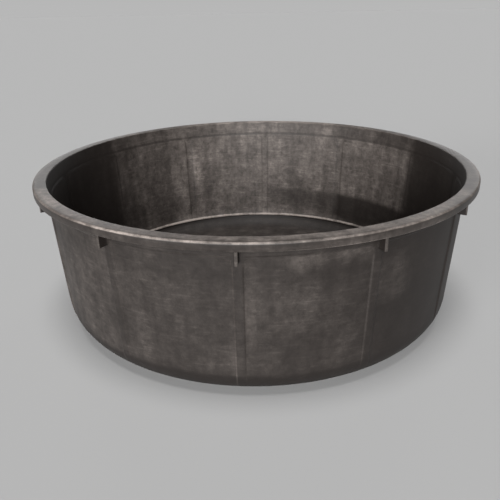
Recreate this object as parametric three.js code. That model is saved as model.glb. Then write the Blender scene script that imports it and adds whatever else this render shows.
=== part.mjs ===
// Mortar mixing tub: a round open tub moulded in black plastic, in millimetres, +Z up.
// It stands on its floor. The origin is the centre of the floor's underside, and Z is its axis.
// The moulding is built feature by feature: floor, corner, wall panels with upright ribs between
// them, shoulder, flat rim, skirt and gussets. One rib and one gusset face -Y.
import * as THREE from 'three';

// ---- driving dimensions -------------------------------------------------------------------
const height = 250;             // floor underside to the flat top of the rim
const rimRadius = 375;          // outside of the rim
const rimWidth = 21.5;          // flat top of the rim, from the mouth to its outer edge
const flangeThickness = 4;      // of the flat top
const skirtDepth = 12.5;        // top of the rim to the skirt's lower edge
const skirtThickness = 4.5;
const edgeRound = 3;            // radius on the rim's outer top edge

const wallThickness = 4;
const wallDraft = 3.2;          // degrees that the wall leans out
const cornerRadius = 44;        // outside radius between wall and floor
const floorThickness = 4.5;
const shoulderDepth = 25;       // top of the rim to the panels' upper edge
const panelRecess = 1.8;        // how far the panels lie in from the shoulder and the ribs

const bayCount = 12;            // ribs, and gussets above them, around the tub
const ribWidth = 14;
const gussetThickness = 4.4;
const gussetDepth = 33;         // top of the rim to the gusset's lower edge

const beadHeight = 26;          // how high the bead lies up the corner, above the underside
const beadWidth = 7;            // along the corner's inner surface
const beadRise = 2.5;           // out from the corner's inner surface

const fitGap = 0.3;             // between neighbouring curved faces

// ---- how finely the round shapes are cut -----------------------------------------------------
const turns = 96;               // facets around the axis, a multiple of the bay count
const arcSteps = 8;             // facets along a corner's quarter turn
const edgeSteps = 3;            // facets along the rim's rounded edge

// ---- derived sizes ------------------------------------------------------------------------
const draftSlope = Math.tan(THREE.MathUtils.degToRad(wallDraft));
const mouthRadius = rimRadius - rimWidth;
const flangeUnderside = height - flangeThickness;
const shoulderUnderside = height - shoulderDepth;
const skirtInner = rimRadius - skirtThickness;
const cornerTop = cornerRadius;             // where the corner ends and the drafted wall begins

// ---- materials ----------------------------------------------------------------------------
const tubPlastic = new THREE.MeshStandardMaterial({
  name: 'tub_plastic', color: 0x1f1e1d, roughness: 0.45, metalness: 0,
});

// Outside radius of the shoulder and the ribs at a level, following the draft down from the flange.
function ribOuter(z) {
  return mouthRadius + wallThickness - (flangeUnderside - z) * draftSlope;
}

// Outside and inside radius of the recessed panels.
function panelOuter(z) {
  return ribOuter(z) - panelRecess;
}

function panelInner(z) {
  return panelOuter(z) - wallThickness;
}

// Centre of an arc that touches a level floor and the drafted wall line wallAt(z).
function cornerCentre(wallAt, floorLevel, radius) {
  const draft = THREE.MathUtils.degToRad(wallDraft);
  const z = floorLevel + radius;
  const touchLevel = z - radius * Math.sin(draft);
  return { r: wallAt(touchLevel) - radius * Math.cos(draft), z };
}

// Points [radius, level] on the corner from the floor up to the wall, both ends included.
function cornerArc(wallAt, floorLevel, radius) {
  const centre = cornerCentre(wallAt, floorLevel, radius);
  const sweep = 90 - wallDraft;
  const points = [];
  for (let step = 0; step <= arcSteps; step += 1) {
    const angle = THREE.MathUtils.degToRad(-90 + (sweep * step) / arcSteps);
    points.push([centre.r + radius * Math.cos(angle), centre.z + radius * Math.sin(angle)]);
  }
  return points;
}

// A closed ring or disc turned about Z from an outline of [radius, level] points, listed
// counter-clockwise with the radius to the right and the level up.
function turned(name, outline) {
  const profile = [...outline, outline[0]].map(([r, z]) => new THREE.Vector2(r, z));
  const geometry = new THREE.LatheGeometry(profile, turns);
  geometry.rotateX(Math.PI / 2);
  const mesh = new THREE.Mesh(geometry, tubPlastic);
  mesh.name = name;
  return mesh;
}

// ---- floor: a flat disc that ends where the corner starts to turn ---------------------------
const outerCorner = cornerArc(panelOuter, 0, cornerRadius);
const innerCorner = cornerArc(panelInner, floorThickness, cornerRadius - wallThickness);
const plateRadius = Math.min(outerCorner[0][0], innerCorner[0][0]) - fitGap;

function floorPlate() {
  const geometry = new THREE.CylinderGeometry(plateRadius, plateRadius, floorThickness, turns);
  geometry.rotateX(Math.PI / 2);
  geometry.translate(0, 0, floorThickness / 2);
  const mesh = new THREE.Mesh(geometry, tubPlastic);
  mesh.name = 'floor_plate';
  return mesh;
}

// ---- corner: the rounded ring between the floor and the wall --------------------------------
function cornerRing() {
  const innerStart = plateRadius + fitGap;
  return turned('corner_ring', [
    [innerStart, 0],
    ...outerCorner.filter(([r]) => r > innerStart),
    [panelOuter(cornerTop), cornerTop],
    [panelInner(cornerTop), cornerTop],
    ...innerCorner.filter(([r, z]) => r > innerStart && z < cornerTop).reverse(),
    [innerStart, floorThickness],
  ]);
}

// ---- bead: the raised ring inside, part of the way up the corner ----------------------------
function floorBead() {
  const innerRadius = cornerRadius - wallThickness;
  const centre = cornerCentre(panelInner, floorThickness, innerRadius);
  const middle = Math.asin((beadHeight - centre.z) / innerRadius);
  const halfAngle = beadWidth / 2 / innerRadius;
  // The bead's foot follows the corner's facets, so it stands clear of their chords.
  const foot = innerRadius * Math.cos(Math.PI / 4 / arcSteps) - fitGap;
  const at = (angle, radius) => [centre.r + radius * Math.cos(angle), centre.z + radius * Math.sin(angle)];
  return turned('floor_bead', [
    at(middle - halfAngle, foot),
    at(middle + halfAngle, foot),
    at(middle + halfAngle / 2, foot - beadRise),
    at(middle - halfAngle / 2, foot - beadRise),
  ]);
}

// ---- wall: the drafted ring of panels, and the wider shoulder above it ----------------------
function tubWall() {
  return turned('tub_wall', [
    [panelInner(cornerTop), cornerTop],
    [panelOuter(cornerTop), cornerTop],
    [panelOuter(shoulderUnderside), shoulderUnderside],
    [panelInner(shoulderUnderside), shoulderUnderside],
  ]);
}

function wallShoulder() {
  return turned('wall_shoulder', [
    [ribOuter(shoulderUnderside) - wallThickness, shoulderUnderside],
    [ribOuter(shoulderUnderside), shoulderUnderside],
    [ribOuter(flangeUnderside), flangeUnderside],
    [mouthRadius, flangeUnderside],
  ]);
}

// ---- upright plates: an outline of [radius, level] points, extruded across the radius -------
function uprightPlate(name, index, thickness, outline) {
  const shape = new THREE.Shape(outline.map(([r, z]) => new THREE.Vector2(r, z)));
  const geometry = new THREE.ExtrudeGeometry(shape, { depth: thickness, bevelEnabled: false });
  geometry.translate(0, 0, -thickness / 2);
  geometry.rotateX(Math.PI / 2);
  const mesh = new THREE.Mesh(geometry, tubPlastic);
  mesh.name = `${name}_${String(index + 1).padStart(2, '0')}`;
  mesh.rotation.z = -Math.PI / 2 + (index * 2 * Math.PI) / bayCount;
  return mesh;
}

// A rib stands on the wall between two panels, flush with the shoulder above it.
function wallRib(index) {
  return uprightPlate('wall_rib', index, ribWidth, [
    [panelOuter(cornerTop) + fitGap, cornerTop],
    [ribOuter(cornerTop), cornerTop],
    [ribOuter(shoulderUnderside), shoulderUnderside],
    [panelOuter(shoulderUnderside) + fitGap, shoulderUnderside],
  ]);
}

// ---- rim: the flat top, with its rounded outer edge, and the skirt that turns down ----------
function rimFlange() {
  const outline = [
    [mouthRadius, flangeUnderside],
    [rimRadius, flangeUnderside],
  ];
  for (let step = 0; step <= edgeSteps; step += 1) {
    const angle = (Math.PI / 2) * (step / edgeSteps);
    outline.push([
      rimRadius - edgeRound + edgeRound * Math.cos(angle),
      height - edgeRound + edgeRound * Math.sin(angle),
    ]);
  }
  outline.push([mouthRadius, height]);
  return turned('rim_flange', outline);
}

function rimSkirt() {
  const lowerEdge = height - skirtDepth;
  return turned('rim_skirt', [
    [skirtInner, lowerEdge],
    [rimRadius, lowerEdge],
    [rimRadius, flangeUnderside],
    [skirtInner, flangeUnderside],
  ]);
}

// ---- gussets: plates in the channel under the rim, which brace the skirt against the wall ---
function rimGusset(index) {
  const lowerEdge = height - gussetDepth;
  const outerEdge = skirtInner - fitGap;
  return uprightPlate('rim_gusset', index, gussetThickness, [
    [ribOuter(lowerEdge) + fitGap, lowerEdge],
    [outerEdge, lowerEdge],
    [outerEdge, flangeUnderside],
    [ribOuter(flangeUnderside) + fitGap, flangeUnderside],
  ]);
}

// ---- the whole tub --------------------------------------------------------------------------
const tub = new THREE.Group();
tub.add(floorPlate(), cornerRing(), floorBead(), tubWall(), wallShoulder(), rimFlange(), rimSkirt());
for (let index = 0; index < bayCount; index += 1) {
  tub.add(wallRib(index), rimGusset(index));
}

export default tub;
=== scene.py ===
# Mortar mixing tub: a round open tub moulded in black plastic, dusty and scuffed from use.
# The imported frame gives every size; this script makes the finished surfaces around it, in metres.
import math

import bpy
import numpy as np
from mathutils import Matrix, Vector


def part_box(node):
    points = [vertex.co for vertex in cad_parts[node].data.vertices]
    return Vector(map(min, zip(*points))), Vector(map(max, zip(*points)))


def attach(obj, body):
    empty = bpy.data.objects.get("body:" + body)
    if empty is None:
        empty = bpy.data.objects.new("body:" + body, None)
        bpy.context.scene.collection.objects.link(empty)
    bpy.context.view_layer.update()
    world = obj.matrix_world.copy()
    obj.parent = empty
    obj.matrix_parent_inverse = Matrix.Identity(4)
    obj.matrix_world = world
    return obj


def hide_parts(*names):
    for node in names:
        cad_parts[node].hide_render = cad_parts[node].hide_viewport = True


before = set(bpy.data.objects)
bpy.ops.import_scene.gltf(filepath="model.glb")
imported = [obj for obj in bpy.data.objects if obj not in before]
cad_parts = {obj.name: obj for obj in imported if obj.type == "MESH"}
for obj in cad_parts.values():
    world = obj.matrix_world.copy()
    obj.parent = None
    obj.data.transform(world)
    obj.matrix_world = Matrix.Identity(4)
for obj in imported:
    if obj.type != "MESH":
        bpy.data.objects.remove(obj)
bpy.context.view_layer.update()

# ---- camera ---------------------------------------------------------------------------------
# The tub is seen from a little over its rim, at arm's length, with a rib and a gusset just left
# of the middle. The camera stands 2.6 rim radii away and looks down at about 24 degrees.
rim_low, rim_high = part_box("rim_flange")
rim_radius = rim_high.x
rim_top = rim_high.z
camera_turn = math.radians(3.84)
camera_yaw = math.radians(-0.724)
camera_pitch = math.radians(23.65)
camera_roll = math.radians(-1.20)
camera_away = 2.6             # in rim radii, from the axis
camera_over = 0.677           # in rim radii, above the rim

forward = Vector((math.sin(camera_yaw) * math.cos(camera_pitch),
                  math.cos(camera_yaw) * math.cos(camera_pitch), -math.sin(camera_pitch)))
level_right = forward.cross(Vector((0, 0, 1))).normalized()
level_up = level_right.cross(forward)
right = level_right * math.cos(camera_roll) + level_up * math.sin(camera_roll)
up = level_up * math.cos(camera_roll) - level_right * math.sin(camera_roll)
turn = Matrix.Rotation(camera_turn, 4, "Z")
camera_place = turn @ Vector((0, -camera_away * rim_radius, rim_top + camera_over * rim_radius))
camera_pose = turn.to_3x3() @ Matrix((right, up, -forward)).transposed()

camera = bpy.data.objects.new("camera", bpy.data.cameras.new("camera"))
camera.data.sensor_width = 36
camera.data.lens = 40.27
camera.matrix_world = Matrix.Translation(camera_place) @ camera_pose.to_4x4()
bpy.context.scene.collection.objects.link(camera)
bpy.context.scene.camera = camera

# ---- tub moulding ---------------------------------------------------------------------------
# One injection moulding in black polyethylene: flat floor, rounded corner, drafted wall of twelve
# shallow panels with upright ribs between them, a wider shoulder, and a rim that turns out and
# down as a skirt. The skin is the same thickness all over, so each rib is a groove inside.
corner_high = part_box("corner_ring")[1]
wall_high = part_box("tub_wall")[1]
shoulder_low, shoulder_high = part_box("wall_shoulder")
bead_low, bead_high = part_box("floor_bead")

bays = 12
bay_angle = 2 * math.pi / bays
wall_thickness = 0.004
skirt_thickness = 0.0045
corner_radius = corner_high.z
floor_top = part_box("floor_plate")[1].z
skirt_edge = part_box("rim_skirt")[0].z
flange_underside = rim_low.z
panel_slope = (wall_high.x - corner_high.x) / (wall_high.z - corner_high.z)
panel_recess = shoulder_high.x - (wall_high.x + panel_slope * (flange_underside - wall_high.z))
panel_corner = 0.014           # radius of a panel's upper corners
border_level = shoulder_low.z - 0.0015
rib_half_width = 0.0066
bead_level = (bead_low.z + bead_high.z) / 2
bead_rise = 0.0026
edge_round = 0.0034            # on the outer edge of the rim's top
rib_foot = 0.042               # level where the ribs run out into the corner
gate_radius = 0.0072           # of the shallow mark in the middle of the underside
gate_depth = 0.0012


def panel_outer(z):
    """Outside radius of the panels: a straight line that leans out with height."""
    return wall_high.x + panel_slope * (z - wall_high.z)


def rounded_path(corners, spacing):
    """Outline through [radius, level, rounding] corners: an arc tangent to both sides at each corner
    that has a rounding, and points no further apart than the spacing on the straight stretches."""
    stretches = [np.array([corners[0][:2]])]
    for before, here, after in zip(corners, corners[1:], corners[2:]):
        p = np.array(here[:2])
        rounding = here[2]
        back = np.array(before[:2]) - p
        on = np.array(after[:2]) - p
        back /= np.linalg.norm(back)
        on /= np.linalg.norm(on)
        half = math.acos(np.clip(back @ on, -1, 1)) / 2
        centre = p + (back + on) / np.linalg.norm(back + on) * rounding / math.sin(half)
        start = p + back * rounding / math.tan(half) - centre
        end = p + on * rounding / math.tan(half) - centre
        first = math.atan2(start[1], start[0])
        sweep = math.remainder(math.atan2(end[1], end[0]) - first, 2 * math.pi)
        steps = int(5 + 350 * rounding)
        turned = first + sweep * np.linspace(0, 1, steps + 1)
        stretches.append(centre + rounding * np.stack([np.cos(turned), np.sin(turned)], -1))
    stretches.append(np.array([corners[-1][:2]]))
    points = np.concatenate(stretches)
    length = run_along(points)
    cuts = np.maximum(1, np.ceil(np.diff(length) / spacing)).astype(int)
    places = [np.linspace(a, b, n, endpoint=False) for a, b, n in zip(length, length[1:], cuts)]
    return with_places(points, np.concatenate(places))


def run_along(points):
    """How far along the outline each of its points lies."""
    return np.r_[0, np.cumsum(np.linalg.norm(np.diff(points, axis=0), axis=1))]


def with_places(points, places):
    """The outline with extra points at the given distances along it."""
    length = run_along(points)
    every = np.union1d(length, places)
    every = every[np.r_[True, np.diff(every) > 2e-5]]
    return np.stack([np.interp(every, length, column) for column in points.T], -1)


def place_of_level(points, level):
    """How far along the outline its wall first passes a level."""
    above = points[:, 1] > level
    i = np.argmax(above != above[0])
    share = (level - points[i - 1, 1]) / (points[i, 1] - points[i - 1, 1])
    return run_along(points)[i - 1:i + 1] @ [1 - share, share]


def soft_step(x, half):
    """0 below -half, 1 above half, with a smooth slope between."""
    t = np.clip((x + half) / (2 * half), 0, 1)
    return t * t * (3 - 2 * t)


def panel_depth(angle, radius, level, border):
    """1 on a panel and 0 on the ribs and the shoulder: in each bay a rectangle with round upper
    corners, told from its signed distance, that stays open downwards into the corner. The border is
    half the width of the slope between the two."""
    across = np.abs(angle - bay_angle * np.round(angle / bay_angle)) * radius
    to_rib = rib_half_width - across + panel_corner
    to_shoulder = level - border_level + panel_corner
    past = np.hypot(np.maximum(to_rib, 0), np.maximum(to_shoulder, 0))
    past += np.minimum(np.maximum(to_rib, to_shoulder), 0)
    return soft_step(panel_corner - past, border)


def unevenness(x, y, z, seed, cycles):
    """From -1 to 1: the mean of a few sine waves in random directions, so many cycles a metre."""
    draw = np.random.default_rng(seed)
    total = 0
    for _ in range(7):
        way = draw.normal(size=3)
        way *= cycles * 2 * math.pi / np.linalg.norm(way)
        total = total + np.sin(way[0] * x + way[1] * y + way[2] * z + draw.uniform(0, 2 * math.pi))
    return total / 7


# The outline in two halves, which meet on the flat top of the rim: outside and inside.
corner_r = panel_outer(corner_radius) - corner_radius
rim_middle = rim_radius - 0.010
outside = rounded_path([
    (0, gate_depth, 0), (gate_radius - gate_depth, gate_depth, 0.0004), (gate_radius, 0, 0.0004),
    (panel_outer(0), 0, corner_radius),
    (panel_outer(flange_underside), flange_underside, 0.0025),
    (rim_radius - skirt_thickness, flange_underside, 0.002),
    (rim_radius - skirt_thickness, skirt_edge, 0.0014),
    (rim_radius, skirt_edge, 0.0014),
    (rim_radius, rim_top, edge_round),
    (rim_middle, rim_top, 0)], 0.012)
inside = rounded_path([
    (rim_middle, rim_top, 0),
    (panel_outer(flange_underside) - wall_thickness, rim_top, 0.0016),
    (panel_outer(floor_top) - wall_thickness, floor_top, corner_radius - wall_thickness),
    (0, floor_top, 0)], 0.012)
near_border = np.array([-7, -4, -3, -2, -1.2, -0.6, 0, 0.6, 1.2, 2, 3, 5]) / 1000
near_crest = np.array([-20, -12, -7, -5.2, -4.6, -4, -3.5, -3, -2.5, -2, -1.2, -0.5, 0,
                       0.4, 0.8, 1.2, 1.6, 2, 2.4, 2.8, 3.6, 6]) / 1000
outside = with_places(outside, place_of_level(outside, border_level) + near_border)
inside = with_places(inside, place_of_level(inside, border_level) + near_border)
crest = place_of_level(inside, bead_level)
inside = with_places(inside, crest + near_crest)

# Columns around the axis, closer together on the slopes beside each rib.
wall_radius = 0.349            # about where the columns' distances from a rib hold
beside_rib = np.array([3, 5.2, 5.8, 6.4, 7, 7.6, 8.2, 9.5]) / 1000 / wall_radius
near_rib = np.r_[-beside_rib[::-1], 0, beside_rib]
across_panel = np.linspace(near_rib[-1], bay_angle + near_rib[0], 20)[1:-1]
column = np.add.outer(bay_angle * np.arange(bays), np.r_[near_rib, across_panel]).ravel()


def skin(half, moulded, raised, recess, border):
    """Grid of points and how far each is on a panel: the half outline turned about the axis and moved
    outwards across the skin, by the recess where it isn't a panel and the half is moulded there, and
    in by what is raised."""
    r, z = (np.repeat(values[:, None], len(column), 1) for values in half.T)
    angle = np.repeat(column[None], len(half), 0)
    out = np.stack([np.maximum(r - corner_r, 1e-9), np.minimum(z - corner_radius, 0)])
    out /= np.hypot(*out)
    depth = panel_depth(angle, r, z, border)
    shift = recess * (1 - depth) * soft_step(z - rib_foot, 0.022)
    x, y = r * np.cos(angle), r * np.sin(angle)
    shift += 0.0004 * unevenness(x, y, z, 3, 4) + 0.0001 * unevenness(x, y, z, 8, 13)
    shift = shift * moulded[:, None] - raised[:, None]
    r, z = r + out[0] * shift, z + out[1] * shift
    return np.stack([r * np.cos(angle), r * np.sin(angle), z], -1), depth


def between(x, low, high, half):
    """1 between two values and 0 outside them, with smooth slopes at both ends."""
    return soft_step(x - low, half) * (1 - soft_step(x - high, half))


outside_r, outside_z = outside.T
on_shell = (outside_r < shoulder_high.x + 0.003) & (outside_z <= flange_underside + 1e-6)
outside_moulded = on_shell * soft_step(outside_z - 0.010, 0.010)
past_crest = run_along(inside) - crest
ledge = between(past_crest, -0.0030, 0.0013, 0.0014)
not_raised = np.zeros(len(outside) - 1)
outer_points, outer_depth = skin(outside[:-1], outside_moulded[:-1], not_raised, panel_recess, 0.0014)
groove = np.where(inside[:, 1] > shoulder_low.z + 0.006, panel_recess, 0.50 * panel_recess)[:, None]
inner_points, inner_depth = skin(inside, np.ones(len(inside)), bead_rise * ledge, groove, 0.0028)

# Dust and painted light: 0 where the plastic is clean, about 1 where it is well covered, and up to
# 2.2 where an edge is rubbed pale. Lowered, it paints shade and a shadow; raised, it paints sheen and
# highlights. Turned is degrees from the front, positive to the right.
turned = np.degrees(column) + 90
turned = (turned + 180) % 360 - 180
# The back of the tub, where the rim's flat top and outer edge get a painted sheen.
behind = soft_step(np.abs(turned) - 152, 8)


def outside_dust_and_painted_light(points, depth, on_rim):
    """Dust and painted light outside: a cloudy coat of dust, thinned as painted shade on the right side
    and the foot and thickened as a painted sheen on the left, with a scuffed and a rubbed patch, and
    painted highlights on one slope beside each rib and along a panel's upper corner right of the
    front. The rim has its own coat, partly a painted sheen, and worn edges that also carry painted
    highlights."""
    z, r = points[..., 2], np.hypot(points[..., 0], points[..., 1])
    cloud = unevenness(*np.moveaxis(points, -1, 0), 21, 5)
    # Where the right side outside gets painted shade.
    painted_shade_right = between(turned, 27, 125, 6)
    scuffed = between(turned + 4 * cloud, 4, 18, 3) * between(z + 0.02 * cloud, 0.100, 0.172, 0.008)
    rubbed = between(turned + 3 * cloud, 29, 39, 2) * between(z + 0.01 * cloud, 0.130, 0.200, 0.006)
    # Painted highlight along a panel's upper corner, right of the front.
    painted_corner_highlight = between(turned + 30 * z, 17, 34, 3) * between(z + 0.004 * cloud, 0.208, 0.222, 0.003)
    # Paler on the left, a painted sheen; darker on the right, a painted shade.
    dust_and_painted_light = (0.165 + 0.10 * cloud + 0.09 * between(turned, -150, -31, 2)) * (1 - 0.76 * painted_shade_right)
    dust_and_painted_light = dust_and_painted_light + 0.04 * scuffed + 0.10 * rubbed
    # Painted shade on the foot, which faces down.
    dust_and_painted_light *= 1 - 0.88 * between(z, -0.01, 0.040 + 0.004 * cloud, 0.007)
    dust_and_painted_light *= 1 - 0.25 * (1 - depth) * between(z, 0.04, 0.22, 0.01)
    dust_and_painted_light *= 1 - 0.4 * between(z, 0.185, 0.240, 0.012)
    dust_and_painted_light += 0.22 * depth * painted_corner_highlight
    # Painted highlight on one slope beside each rib, the side that faces the light.
    lit_side = 0.10 + 0.6 * (np.sin(bays * np.radians(turned)) < 0)
    dust_and_painted_light += lit_side * depth * (1 - depth) * on_shell[:-1, None] * (1 - painted_shade_right)

    flat_top = z > rim_top - 1e-4
    # The rim's flat top is paler: partly dust, partly a painted sheen, strongest behind.
    rim_dust_and_painted_sheen = 0.12 + 0.05 * cloud + (0.34 + 0.14 * cloud + 0.65 * behind) * flat_top
    dust_and_painted_light = np.where(on_rim, rim_dust_and_painted_sheen, dust_and_painted_light)
    over_edge = np.maximum(r - rim_radius + edge_round, 1e-6)
    edge_turn = np.degrees(np.arctan2(z - rim_top + edge_round, over_edge))
    # The outer edge of the rim's top is paler: partly rubbed wear, partly a painted highlight, strongest in
    # front and behind.
    worn_and_painted_highlight = 0.60 + 0.72 * between(turned, -32, 6, 10) + 0.6 * behind + 0.3 * cloud
    dust_and_painted_light += on_rim * worn_and_painted_highlight * between(edge_turn, 22, 82, 9)
    # The skirt's lower edge: a little rubbed wear all round, and a painted highlight right of the front.
    lower_wear_and_painted_highlight = 0.15 + 0.4 * between(turned, 8, 46, 4)
    dust_and_painted_light += on_rim * lower_wear_and_painted_highlight * between(z, skirt_edge - 0.002, skirt_edge + 0.0012, 0.0006)
    return dust_and_painted_light


def inside_dust_and_painted_light(points, depth, past):
    """Dust and painted light inside: a thicker cloudy coat of dust, with painted shade on both sides,
    along the shoulder's lines and in the grooves, a painted shadow of the front rim low on the wall,
    the bead's crest pale, partly rubbed and partly a painted highlight, and a thin coat on the floor
    beyond it. The rim's flat top gets a painted sheen."""
    z = points[..., 2]
    cloud = unevenness(*np.moveaxis(points, -1, 0), 33, 5)
    dust_and_painted_light = 0.58 + 0.12 * cloud
    dust_and_painted_light *= 1 - (0.15 + 0.35 * between(turned, 119, 152, 3)) * between(z, 0.226, 0.249, 0.001)
    # Painted shade along the shoulder's step and just under the rim's inner edge.
    dust_and_painted_light *= 1 - 0.55 * between(z + 0.0006 * cloud, 0.2225, 0.2270, 0.0010)
    dust_and_painted_light *= 1 - 0.60 * between(z, 0.2440, 0.2480, 0.0010)
    # Painted shade on the slopes of the grooves and the step.
    dust_and_painted_light *= 1 - 1.2 * depth * (1 - depth)
    dust_and_painted_light *= 1 - 0.55 * between(turned + 2 * cloud, -142, -119, 2)
    dust_and_painted_light *= 1 - 0.18 * between(turned, 119, 172, 6)
    # Painted shadow of the front rim low on the inner wall, darkest from the back round to the right, below a
    # top edge near 94 mm.
    painted_rim_shadow = 0.12 + 0.42 * between(turned, 150, 179, 2) + 0.73 * between(turned, 112, 150, 2)
    painted_rim_shadow_foot = 0.050 - 0.026 * between(turned, 112, 150, 5)
    under_rim_shadow_top = 1 - soft_step(z + 0.003 * cloud - 0.094, 0.0015)
    dust_and_painted_light *= 1 - painted_rim_shadow * soft_step(z - painted_rim_shadow_foot, 0.014) * under_rim_shadow_top
    # Painted shade on both sides inside, which face across the light.
    dust_and_painted_light *= 1 - 0.90 * between(np.abs(turned), 62, 119, 2.5)
    # Painted shade in the grooves.
    dust_and_painted_light *= 1 - 0.10 * (1 - depth) * between(z, 0.05, 0.225, 0.01)
    # The bead's crest is paler: partly rubbed wear, partly a painted highlight, strongest at the back left.
    dust_and_painted_light += (1.35 + 0.8 * between(turned, -180, -135, 8)) * between(past, -0.0042, 0.0006, 0.0008)
    floor_dust = 0.09 + 0.15 * soft_step(past - 0.034, 0.012) + 0.05 * cloud
    # Darker for 7.5 mm just beyond the bead's crest.
    floor_dust = floor_dust * (1 - 0.95 * between(past, 0, 0.0075, 0.0015))
    dust_and_painted_light = np.where(past > 0.0014, floor_dust, dust_and_painted_light)
    # The rim's flat top is paler: partly dust, partly a painted sheen, strongest behind.
    return dust_and_painted_light + (0.20 + 0.14 * cloud + 0.8 * behind) * (z > rim_top - 1e-4)


outer_z = outer_points[..., 2]
inner_z = inner_points[..., 2]
outer_r = np.hypot(outer_points[..., 0], outer_points[..., 1])
on_rim = (outer_r > shoulder_high.x + 0.004) & (outer_z > skirt_edge - 1e-4)
past = np.repeat(past_crest[:, None], len(column), 1)
outer_dust_and_painted_light = outside_dust_and_painted_light(outer_points, outer_depth, on_rim)
inner_dust_and_painted_light = inside_dust_and_painted_light(inner_points, inner_depth, past)
rubbed_inside = (inner_z > rim_top - 0.001) | (np.abs(past) < 0.003)

# Rows from the middle of the underside, over the rim, to the middle of the floor. The first and
# last rows shrink to a point each, and fans close them.
rows = np.concatenate([outer_points[1:], inner_points[:-1]])
dust_and_painted_light_rows = np.concatenate([outer_dust_and_painted_light[1:], inner_dust_and_painted_light[:-1]]).clip(0.01, 2.2)
polish_rows = np.concatenate([on_rim[1:], rubbed_inside[:-1]])
poles = np.array([[0, 0, outside[0, 1]], [0, 0, inside[-1, 1]]])
count, around = rows.shape[:2]
grid = np.arange(count * around).reshape(count, around)
beside = np.roll(grid, -1, 1)
quads = np.stack([grid[:-1], beside[:-1], beside[1:], grid[1:]], -1).reshape(-1, 4)
first_fan = np.stack([np.full(around, count * around), beside[0], grid[0]], -1)
last_fan = np.stack([np.full(around, count * around + 1), grid[-1], beside[-1]], -1)


def smooth_mesh(name, points, *faces):
    """A smooth-shaded mesh object from its points and lists of faces."""
    mesh = bpy.data.meshes.new(name)
    mesh.from_pydata(points.tolist(), [], [face for group in faces for face in group.tolist()])
    mesh.shade_smooth()
    piece = bpy.data.objects.new(name, mesh)
    bpy.context.scene.collection.objects.link(piece)
    return piece


def put_values(piece, name, values):
    """One number for each of the mesh's points, for the material to read."""
    attribute = piece.data.attributes.new(name, "FLOAT", "POINT")
    attribute.data.foreach_set("value", np.asarray(values, np.float32))


tub = smooth_mesh("tub_moulding", np.concatenate([rows.reshape(-1, 3), poles]), quads, first_fan, last_fan)
# The stored values are dust together with painted shade, shadow, sheen and highlights.
put_values(tub, "dust_and_painted_light", np.r_[dust_and_painted_light_rows.ravel(), 0.1, 0.35])
put_values(tub, "polish", np.r_[polish_rows.ravel(), 0, 0])

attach(tub, "root")
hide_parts("floor_plate", "corner_ring", "floor_bead", "tub_wall", "wall_shoulder", "rim_flange",
            "rim_skirt", *[f"wall_rib_{bay + 1:02d}" for bay in range(bays)])

# ---- tub plastic ----------------------------------------------------------------------------
# Black polyethylene as it leaves the mould, satin rather than glossy, greyed by cement dust that
# lies in patches and streaks, and rubbed paler along the rim and the bead. The same pale colour also
# paints sheen and highlights, and less of it paints shade and a shadow.
plastic = bpy.data.materials.new("tub_plastic")
plastic.use_nodes = True
nodes = plastic.node_tree.nodes
links = plastic.node_tree.links
shader = nodes["Principled BSDF"]
place = nodes.new("ShaderNodeTexCoord").outputs["Object"]


def noise(scale, detail, roughness, stretch=(1, 1, 1)):
    """Noise on the object's own coordinates, drawn out along an axis where its stretch is small."""
    mapping = nodes.new("ShaderNodeMapping")
    mapping.inputs["Scale"].default_value = stretch
    links.new(place, mapping.inputs["Vector"])
    texture = nodes.new("ShaderNodeTexNoise")
    texture.inputs["Scale"].default_value = scale
    texture.inputs["Detail"].default_value = detail
    texture.inputs["Roughness"].default_value = roughness
    links.new(mapping.outputs["Vector"], texture.inputs["Vector"])
    return texture.outputs["Fac"]


def ramp(value, low, high, to_low=0.0, to_high=1.0):
    """The value spread from its own low and high to new ones, and held there."""
    node = nodes.new("ShaderNodeMapRange")
    node.inputs["From Min"].default_value = low
    node.inputs["From Max"].default_value = high
    node.inputs["To Min"].default_value = to_low
    node.inputs["To Max"].default_value = to_high
    links.new(value, node.inputs["Value"])
    return node.outputs["Result"]


def maths(operation, first, second, clamp=True):
    """Two values put together by an operation."""
    node = nodes.new("ShaderNodeMath")
    node.operation = operation
    node.use_clamp = clamp
    for socket, value in zip(node.inputs, (first, second)):
        if isinstance(value, (int, float)):
            socket.default_value = value
        else:
            links.new(value, socket)
    return node.outputs["Value"]


def attribute(name):
    """The numbers stored on the mesh under a name."""
    node = nodes.new("ShaderNodeAttribute")
    node.attribute_name = name
    return node.outputs["Fac"]


patches = ramp(noise(14, 8, 0.68), 0.36, 0.64, 0.65, 1.35)
scratches = ramp(noise(260, 3, 0.6, (0.13, 0.13, 1)), 0.54, 0.66, 0.94, 1.38)
streaks = ramp(noise(34, 4, 0.6, (1, 1, 0.16)), 0.36, 0.64, 0.7, 1.3)
speckle = ramp(noise(80, 7, 0.8), 0.35, 0.65, 0.45, 1.55)
# The attribute is dust together with painted shade, shadow, sheen and highlights.
dust_and_painted_light = maths("MULTIPLY", attribute("dust_and_painted_light"), maths("MULTIPLY", patches, streaks, False), False)
dust_and_painted_light = maths("MULTIPLY", dust_and_painted_light, scratches, False)
dust_and_painted_light = maths("MULTIPLY", dust_and_painted_light, maths("MULTIPLY", speckle, 0.44, False))

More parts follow.
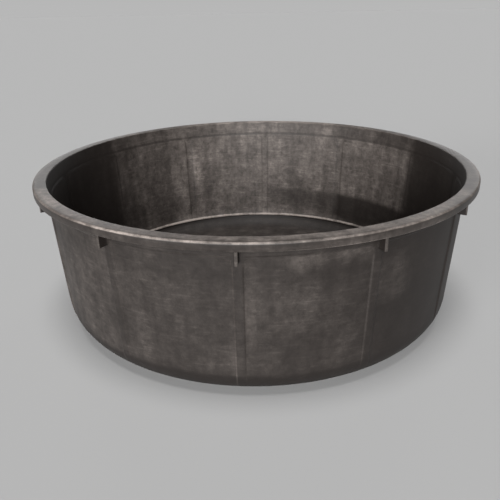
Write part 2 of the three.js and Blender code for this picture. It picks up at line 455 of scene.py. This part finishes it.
tint = nodes.new("ShaderNodeMix")
tint.data_type = "RGBA"
tint.inputs["A"].default_value = (0.0120, 0.0088, 0.0074, 1)
tint.inputs["B"].default_value = (0.358, 0.309, 0.279, 1)
links.new(dust_and_painted_light, tint.inputs["Factor"])
links.new(tint.outputs["Result"], shader.inputs["Base Color"])
shader.inputs["Specular IOR Level"].default_value = 0.34
dulled = maths("ADD", maths("MULTIPLY", dust_and_painted_light, 0.1), 0.57)
links.new(maths("SUBTRACT", dulled, maths("MULTIPLY", attribute("polish"), 0.14)), shader.inputs["Roughness"])

bump = nodes.new("ShaderNodeBump")
bump.inputs["Strength"].default_value = 0.25
bump.inputs["Distance"].default_value = 0.0002
links.new(noise(450, 3, 0.6), bump.inputs["Height"])
links.new(bump.outputs["Normal"], shader.inputs["Normal"])
tub.data.materials.append(plastic)

# ---- rim gussets ----------------------------------------------------------------------------
# Twelve upright plates in the channel under the rim, moulded with it, one above each rib. Each
# fills the channel from the wall to the skirt and hangs a little below the skirt's edge.
gusset_low, gusset_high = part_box("rim_gusset_01")
gusset_half = gusset_high.x
gusset_inner = -gusset_high.y - 0.0012
gusset_outer = -gusset_low.y
plate_edge = 0.0009            # rounding of the plate's free edges
plate_steps = 25               # points along each side of a plate's grid


def pillow(s, t):
    """Half thickness of a plate at shares s and t of its width and depth: full in the middle, and
    round to nothing at its edges."""
    to_edge = np.minimum(np.minimum(s, 1 - s) * (gusset_outer - gusset_inner),
                         np.minimum(t, 1 - t) * (flange_underside + 0.001 - gusset_low.z))
    near = np.clip(to_edge / plate_edge, 0, 1)
    return gusset_half - plate_edge * (1 - np.sqrt(1 - (1 - near) ** 2)), to_edge > 1e-9


def plate_points(bay):
    """Two grids of points, the faces of one gusset: along the radius and down from the flange, with
    a flare where they meet the wall."""
    ease = 0.5 - 0.5 * np.cos(np.pi * np.linspace(0, 1, plate_steps))
    s, t = np.meshgrid(ease, ease, indexing="ij")
    half, free = pillow(s, t)
    r = gusset_inner + s * (gusset_outer - gusset_inner)
    z = gusset_low.z + t * (flange_underside + 0.001 - gusset_low.z)
    half = np.where(free, half, 0) + 0.0009 * np.exp(-(r - gusset_inner - 0.0012) / 0.0012) * free
    angle = bay * bay_angle - math.pi / 2
    along = np.array([math.cos(angle), math.sin(angle), 0])
    across = np.array([-math.sin(angle), math.cos(angle), 0])
    middle = r[..., None] * along + z[..., None] * np.array([0, 0, 1])
    return middle - half[..., None] * across, middle + half[..., None] * across


def plate_faces(grid):
    """Two triangles for each cell of a grid of point numbers, cut along the diagonal that points to
    the grid's nearest corner, so that no triangle has all its points on the plate's edge."""
    cells = np.stack([grid[:-1, :-1], grid[1:, :-1], grid[1:, 1:], grid[:-1, 1:]], -1)
    low_half = np.arange(len(cells)) < len(cells) / 2
    slanted = np.not_equal.outer(low_half, low_half)[..., None]
    cells = np.where(slanted, np.roll(cells, -1, -1), cells)
    return cells[..., [[0, 1, 2], [0, 2, 3]]].reshape(-1, 3)


for bay in range(bays):
    near_side, far_side = plate_points(bay)
    near_grid = np.arange(plate_steps ** 2).reshape(plate_steps, plate_steps)
    far_grid = near_grid + plate_steps ** 2
    edge = np.ones(near_grid.shape, bool)
    edge[1:-1, 1:-1] = False
    far_grid[edge] = near_grid[edge]
    faces = np.concatenate([plate_faces(near_grid), plate_faces(far_grid)[:, ::-1]])
    used, order = np.unique(faces, return_inverse=True)
    points = np.concatenate([near_side.reshape(-1, 3), far_side.reshape(-1, 3)])[used]
    gusset = smooth_mesh(f"gusset_{bay + 1:02d}", points, order.reshape(-1, 3))
    outer_face = np.hypot(*points[:, :2].T) > rim_radius - skirt_thickness - 0.0015
    # Each gusset's sides are nearly black, painted shade in the channel under the rim; its outer face gets a
    # light coat of dust.
    put_values(gusset, "dust_and_painted_light", 0.02 + 0.3 * outer_face)
    gusset.data.materials.append(plastic)
    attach(gusset, "root")
    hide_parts(f"rim_gusset_{bay + 1:02d}")

# ---- floor and light ------------------------------------------------------------------------
# A plain pale floor under soft studio light: two broad lamps in front, one low on the left and one
# higher up, two weak ones behind, one overhead and a faint even sky. The sky that the camera sees has
# the lit floor's colour, so no horizon shows.
floor_mesh = bpy.data.meshes.new("studio_floor")
floor_mesh.from_pydata([(-40, -40, 0), (40, -40, 0), (40, 40, 0), (-40, 40, 0)], [], [(0, 1, 2, 3)])
floor = bpy.data.objects.new("studio_floor", floor_mesh)
bpy.context.scene.collection.objects.link(floor)
pale = bpy.data.materials.new("studio_floor")
pale.use_nodes = True
pale_shader = pale.node_tree.nodes["Principled BSDF"]
pale_shader.inputs["Base Color"].default_value = (0.49, 0.49, 0.49, 1)
pale_shader.inputs["Roughness"].default_value = 1
pale_shader.inputs["Specular IOR Level"].default_value = 0
floor.data.materials.append(pale)


def broad_lamp(name, azimuth, elevation, spread, strength):
    """A far soft lamp, all angles in degrees: seen from the tub it stands at an azimuth (0 in front,
    90 on the right) and an elevation, and is a disc of the given spread. At strength 1 it lights a
    white surface that faces it to white."""
    lamp = bpy.data.objects.new(name, bpy.data.lights.new(name, "SUN"))
    lamp.data.energy = strength * math.pi
    lamp.data.angle = math.radians(spread)
    lamp.rotation_euler = (math.radians(90 - elevation), 0, math.radians(azimuth))
    bpy.context.scene.collection.objects.link(lamp)


broad_lamp("front_low", -38, 6, 25, 0.56)
broad_lamp("front_high", 2, 20, 32, 1.12)
broad_lamp("back_left", -156, 9, 20, 0.095)
broad_lamp("back_right", 160, 9, 20, 0.10)
broad_lamp("top", 0, 82, 22, 0.42)

world = bpy.data.worlds.new("studio")
world.use_nodes = True
sky = world.node_tree.nodes["Background"]
sky.inputs["Strength"].default_value = 0.08
seen = world.node_tree.nodes.new("ShaderNodeBackground")
seen.inputs["Color"].default_value = (0.474, 0.474, 0.474, 1)
sky.inputs["Color"].default_value = (1, 1, 1, 1)
either = world.node_tree.nodes.new("ShaderNodeMixShader")
ray = world.node_tree.nodes.new("ShaderNodeLightPath")
world.node_tree.links.new(ray.outputs["Is Camera Ray"], either.inputs[0])
world.node_tree.links.new(sky.outputs[0], either.inputs[1])
world.node_tree.links.new(seen.outputs[0], either.inputs[2])
world.node_tree.links.new(either.outputs[0], world.node_tree.nodes["World Output"].inputs["Surface"])
bpy.context.scene.world = world
bpy.context.scene.view_settings.view_transform = "Standard"
